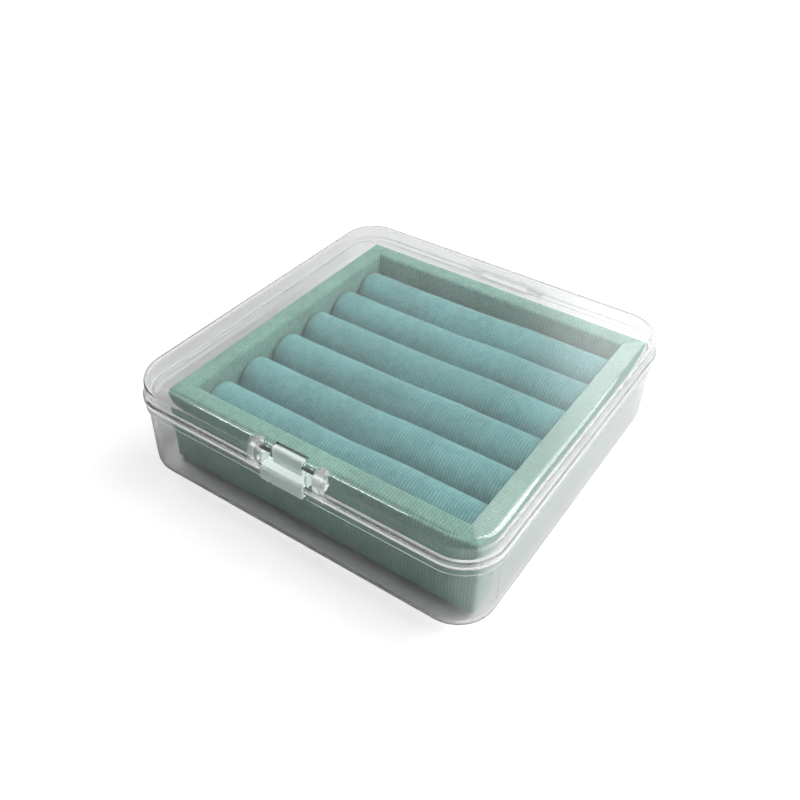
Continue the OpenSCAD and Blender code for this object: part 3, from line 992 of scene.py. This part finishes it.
@dataclass
class VelvetTray:
    """The loose tray: four velvet rails, the rolls between them and what lies inside.

    Attributes:
        roll_count: Number of ring rolls.
        roll_velvet: Finish of the rolls.
        rail_ground: Colour between the rails' ribs.
        rail_crest: Colour on the rails' ribs.
        rail_cloth: How the rails' ribs stand out.
        rail_grain: How much the pile's grain covers the rails' ribs.
        rail_pale: Pale colour painted onto a rail as painted light, where more light falls on that side.
        rail_painted_light_shares: How much of that painted light a side has; only the right rail has any.
        fibreboard: Finish of what stiffens the rails.
        card: Finish of the bottom board.
        foam: Finish of the rolls' filling.
    """

    roll_count: int = 6
    roll_velvet: VelvetFinish = VelvetFinish(
        "roll_velvet", (0.056, 0.22, 0.235), (0.21, 0.43, 0.41), RibAxis.X
    )
    rail_ground: Colour = (0.09, 0.24, 0.2)
    rail_crest: Colour = (0.275, 0.46, 0.39)
    rail_cloth: RibbedCloth = RibbedCloth(relief=0.00007)
    rail_grain: float = 0.5
    # Painted light: a pale colour mixed into a rail's velvet to stand in for the stronger light on that side.
    rail_pale: Colour = (0.8, 0.9, 0.84)
    rail_painted_light_shares: dict[TraySide, float] = field(default_factory=lambda: {TraySide.RIGHT: 0.22})
    fibreboard: PlainFinish = PlainFinish("rail_fibreboard", (0.42, 0.28, 0.16), (0.56, 0.4, 0.25))
    card: PlainFinish = PlainFinish("tray_card", (0.24, 0.22, 0.19), (0.32, 0.3, 0.26), fine=2400.0)
    foam: PlainFinish = PlainFinish("roll_foam", (0.72, 0.71, 0.66), (0.84, 0.83, 0.78), fine=3200.0)

    def build(self, effects: Effects) -> None:
        """Builds and dresses the tray.

        Args:
            effects: The shared node groups.
        """
        self._dress_inside(effects)
        self._build_rails(effects)
        self._build_rolls(effects)

    def _dress_inside(self, effects: Effects) -> None:
        """Dresses the board, the rails' fibreboard and the rolls' foam.

        Args:
            effects: The shared node groups.
        """
        dress(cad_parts["tray_board"], self.card.material(effects))
        fibreboard = self.fibreboard.material(effects)
        for side in TraySide:
            dress(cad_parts[f"rail_{side.name.lower()}"], fibreboard)
        foam = self.foam.material(effects)
        for number in range(1, self.roll_count + 1):
            dress(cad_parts[f"roll_core_{number}"], foam)
        LOG.info("dressed the tray's board, rails and foam")

    def _build_rails(self, effects: Effects) -> None:
        """Models the velvet of the four rails.

        Args:
            effects: The shared node groups.
        """
        low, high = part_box("rail_velvet_front")
        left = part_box("rail_velvet_left")[0].x
        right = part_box("rail_velvet_right")[1].x
        half = (right - left) / 2
        centre = Vector(((left + right) / 2, low.y + half, 0.0))
        for side in TraySide:
            # Painted light: a side's colours are drawn towards the pale colour, so the right rail looks more
            # lit.
            painted_light_share = self.rail_painted_light_shares.get(side, 0.0)
            ground = tuple(c + painted_light_share * (p - c) for c, p in zip(self.rail_ground, self.rail_pale))
            crest = tuple(c + painted_light_share * (p - c) for c, p in zip(self.rail_crest, self.rail_pale))
            name = f"rail_velvet_{side.name.lower()}"
            velvet = VelvetFinish(name, ground, crest, side.rib_axis, self.rail_cloth, self.rail_grain)
            rail = VelvetRail(side, centre, half, high.y - low.y, low.z, high.z)
            piece = rail.build(velvet, velvet.material(effects))
            self._seat(piece, name)

    def _build_rolls(self, effects: Effects) -> None:
        """Models the soft rolls.

        Args:
            effects: The shared node groups.
        """
        material = self.roll_velvet.material(effects)
        for number in range(1, self.roll_count + 1):
            low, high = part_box(f"roll_velvet_{number}")
            middle = (low + high) / 2
            roll = RingRoll(number, middle, (high.x - low.x) / 2, (high.y - low.y) / 2, low.z, high.z)
            piece = roll.build(self.roll_velvet, material)
            self._seat(piece, f"roll_velvet_{number}")

    def _seat(self, piece: bpy.types.Object, node: str) -> None:
        """Puts a piece on the tray in place of its plain solid.

        Args:
            piece: The finished piece.
            node: The solid that it stands for.
        """
        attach(piece, "tray")
        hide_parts(node)
        LOG.info("built %s with %d faces", piece.name, len(piece.data.polygons))


@dataclass(frozen=True)
class SoftLamp:
    """A soft lamp that points at the object. Lengths in metres.

    Attributes:
        name: The lamp's name.
        place: Where it hangs.
        size: Its length along X and its width across that.
        power: Its strength in watts.
    """

    name: str
    place: tuple[float, float, float]
    size: tuple[float, float]
    power: float

    def hang(self) -> None:
        """Hangs the lamp, which neither the camera nor the view through the plastic shows."""
        data = bpy.data.lights.new(self.name, "AREA")
        data.shape = "RECTANGLE"
        data.size, data.size_y = self.size
        data.energy = self.power
        lamp = bpy.data.objects.new(self.name, data)
        away = Vector(self.place).normalized()
        across = away.cross(Vector((1.0, 0.0, 0.0))).normalized()
        turn = Matrix((across.cross(away), across, away)).transposed().to_4x4()
        lamp.matrix_world = Matrix.Translation(self.place) @ turn
        lamp.visible_transmission = False
        lamp.visible_camera = False
        bpy.context.scene.collection.objects.link(lamp)


@dataclass
class Studio:
    """Floor, lamps, background and camera. Lengths in metres, angles in degrees.

    Attributes:
        camera_place: Where the photograph was taken from.
        yaw: How far the camera is turned to the left.
        pitch: How far it looks down.
        roll: How far it leans.
        focal_pixels: Its focal length in pixels.
        image_pixels: The image's width in pixels.
        lamps: The lamps.
        sky: Strength of the light from all round.
        mirrored_sky: Strength of the background in the plastic's outer faces.
        mirrored_panel: How much a pale panel at the back right adds to that.
        mirrored_inside: Strength of the background in the plastic's inner faces.
        panel_start: Where the panel starts and is full, as the X and Y of its direction added.
        panel_end: Where it starts to fade and is gone, as the X of its direction.
        panel_foot: Where it starts and is full, as the Z of its direction.
        floor_colour: Shade of the floor.
        near_glow: How much the floor shines to the camera by the object. It shines fully far off.
        glow_fade: Distances from the middle between which that changes.
        glow_through: How much it shines through the plastic.
        through_fade: Distances between which that starts.
        glow_beside: How much it shines in the plastic's outer faces to the right of the object.
        beside_fade: Distances to the right between which that starts.
    """

    camera_place: tuple[float, float, float] = (0.128855, -0.203288, 0.21316)
    yaw: float = 33.10
    pitch: float = 39.56
    roll: float = 1.70
    focal_pixels: float = 878.3
    image_pixels: float = 800.0
    lamps: tuple[SoftLamp, ...] = (
        SoftLamp("side_lamp", (0.2, 0.14, 0.36), (0.24, 0.24), 1.6),
        SoftLamp("back_lamp", (0.3, 0.7, 0.85), (0.45, 0.45), 4.4),
        SoftLamp("edge_lamp", (-0.48, 0.02, 0.92), (0.34, 0.14), 2.6),
    )
    sky: float = 0.05
    mirrored_sky: float = 0.35
    mirrored_panel: float = 2.2
    mirrored_inside: float = 0.85
    panel_start: tuple[float, float] = (0.38, 0.56)
    panel_end: tuple[float, float] = (-0.1, 0.1)
    panel_foot: tuple[float, float] = (0.46, 0.55)
    floor_colour: float = 0.5
    near_glow: float = 0.65
    glow_fade: tuple[float, float] = (0.1, 0.26)
    glow_through: float = 0.4
    through_fade: tuple[float, float] = (0.07, 0.13)
    glow_beside: float = 0.6
    beside_fade: tuple[float, float] = (0.055, 0.075)

    def build(self) -> None:
        """Sets up the whole studio."""
        self._camera()
        self._floor()
        for lamp in self.lamps:
            lamp.hang()
        self._background()
        bpy.context.scene.view_settings.view_transform = "Standard"
        LOG.info("built the studio")

    def _camera(self) -> None:
        """Puts the camera where the photograph was taken from."""
        yaw, pitch, roll = (math.radians(a) for a in (self.yaw, self.pitch, self.roll))
        ahead = Vector((-math.sin(yaw) * math.cos(pitch), math.cos(yaw) * math.cos(pitch), -math.sin(pitch)))
        level = Vector((math.cos(yaw), math.sin(yaw), 0.0))
        up = level.cross(ahead)
        right = math.cos(roll) * level + math.sin(roll) * up
        top = -math.sin(roll) * level + math.cos(roll) * up
        data = bpy.data.cameras.new("camera")
        data.lens = self.focal_pixels / self.image_pixels * data.sensor_width
        data.clip_start = 0.01
        camera = bpy.data.objects.new("camera", data)
        turn = Matrix((right, top, -ahead)).transposed().to_4x4()
        camera.matrix_world = Matrix.Translation(self.camera_place) @ turn
        bpy.context.scene.collection.objects.link(camera)
        bpy.context.scene.camera = camera

    def _floor(self) -> None:
        """Lays a plain pale floor that keeps the object's shadow."""
        form = bmesh.new()
        below = Matrix.Translation((0, 0, -0.0002))
        bmesh.ops.create_grid(form, x_segments=2, y_segments=2, size=3.0, matrix=below)
        floor = mesh_object("floor", form)
        material, tree, shader, place = start_material("pale_floor")
        shader.inputs["Base Color"].default_value = (*[self.floor_colour] * 3, 1.0)
        shader.inputs["Roughness"].default_value = 0.9
        shader.inputs["Specular IOR Level"].default_value = 0.0
        shader.inputs["Emission Color"].default_value = (1.0, 1.0, 1.0, 1.0)
        rays = tree.nodes.new("ShaderNodeLightPath")
        distance = tree.nodes.new("ShaderNodeVectorMath")
        distance.operation = "LENGTH"
        tree.links.new(place, distance.inputs[0])
        fade = spread_node(tree, distance.outputs["Value"], self.glow_fade, (self.near_glow, 1.0))
        beyond = spread_node(tree, distance.outputs["Value"], self.through_fade, (0.0, self.glow_through))
        through = math_node(tree, "MULTIPLY", rays.outputs["Is Transmission Ray"], beyond)
        split = tree.nodes.new("ShaderNodeSeparateXYZ")
        tree.links.new(place, split.inputs[0])
        beside = spread_node(tree, split.outputs["X"], self.beside_fade, (0.0, self.glow_beside))
        mirrored = math_node(tree, "MULTIPLY_ADD", rays.outputs["Is Glossy Ray"], beside, through)
        glow = math_node(tree, "MULTIPLY_ADD", rays.outputs["Is Camera Ray"], fade, mirrored)
        tree.links.new(glow, shader.inputs["Emission Strength"])
        dress(floor, material)

    def _background(self) -> None:
        """Lights the scene softly from all round and shows white behind it."""
        world = bpy.data.worlds.new("studio")
        world.use_nodes = True
        bpy.context.scene.world = world
        tree = world.node_tree
        shader = tree.nodes["Background"]
        shader.inputs["Color"].default_value = (1.0, 1.0, 1.0, 1.0)
        rays = tree.nodes.new("ShaderNodeLightPath").outputs
        direct = math_node(tree, "LESS_THAN", rays["Diffuse Depth"], 0.5)
        seen_through = math_node(tree, "MULTIPLY", rays["Is Transmission Ray"], direct)
        white = math_node(tree, "MAXIMUM", rays["Is Camera Ray"], seen_through)
        mirrored = math_node(tree, "MULTIPLY", rays["Is Glossy Ray"], direct)
        toward = tree.nodes.new("ShaderNodeSeparateXYZ")
        tree.links.new(tree.nodes.new("ShaderNodeTexCoord").outputs["Generated"], toward.inputs[0])
        rightward = math_node(tree, "ADD", toward.outputs["X"], toward.outputs["Y"])
        near_side = spread_node(tree, rightward, self.panel_start, (0.0, self.mirrored_panel))
        left_of = spread_node(tree, toward.outputs["X"], self.panel_end, (1.0, 0.0))
        above = spread_node(tree, toward.outputs["Z"], self.panel_foot, (0.0, 1.0))
        bounds = math_node(tree, "MULTIPLY", left_of, above)
        panel = math_node(tree, "MULTIPLY_ADD", near_side, bounds, self.mirrored_sky)
        inside = math_node(tree, "GREATER_THAN", rays["Transmission Depth"], 0.5)
        bright = math_node(tree, "MAXIMUM", panel, math_node(tree, "MULTIPLY", inside, self.mirrored_inside))
        strength = math_node(tree, "MAXIMUM", math_node(tree, "MULTIPLY", mirrored, bright), self.sky)
        tree.links.new(math_node(tree, "MAXIMUM", strength, white), shader.inputs["Strength"])


def main() -> None:
    """Builds the box in order."""
    logging.basicConfig(level=logging.INFO, format="%(message)s")
    Studio().build()
    effects = Effects()
    ClearCase().build(effects)
    VelvetTray().build(effects)


if __name__ == "__main__":
    main()
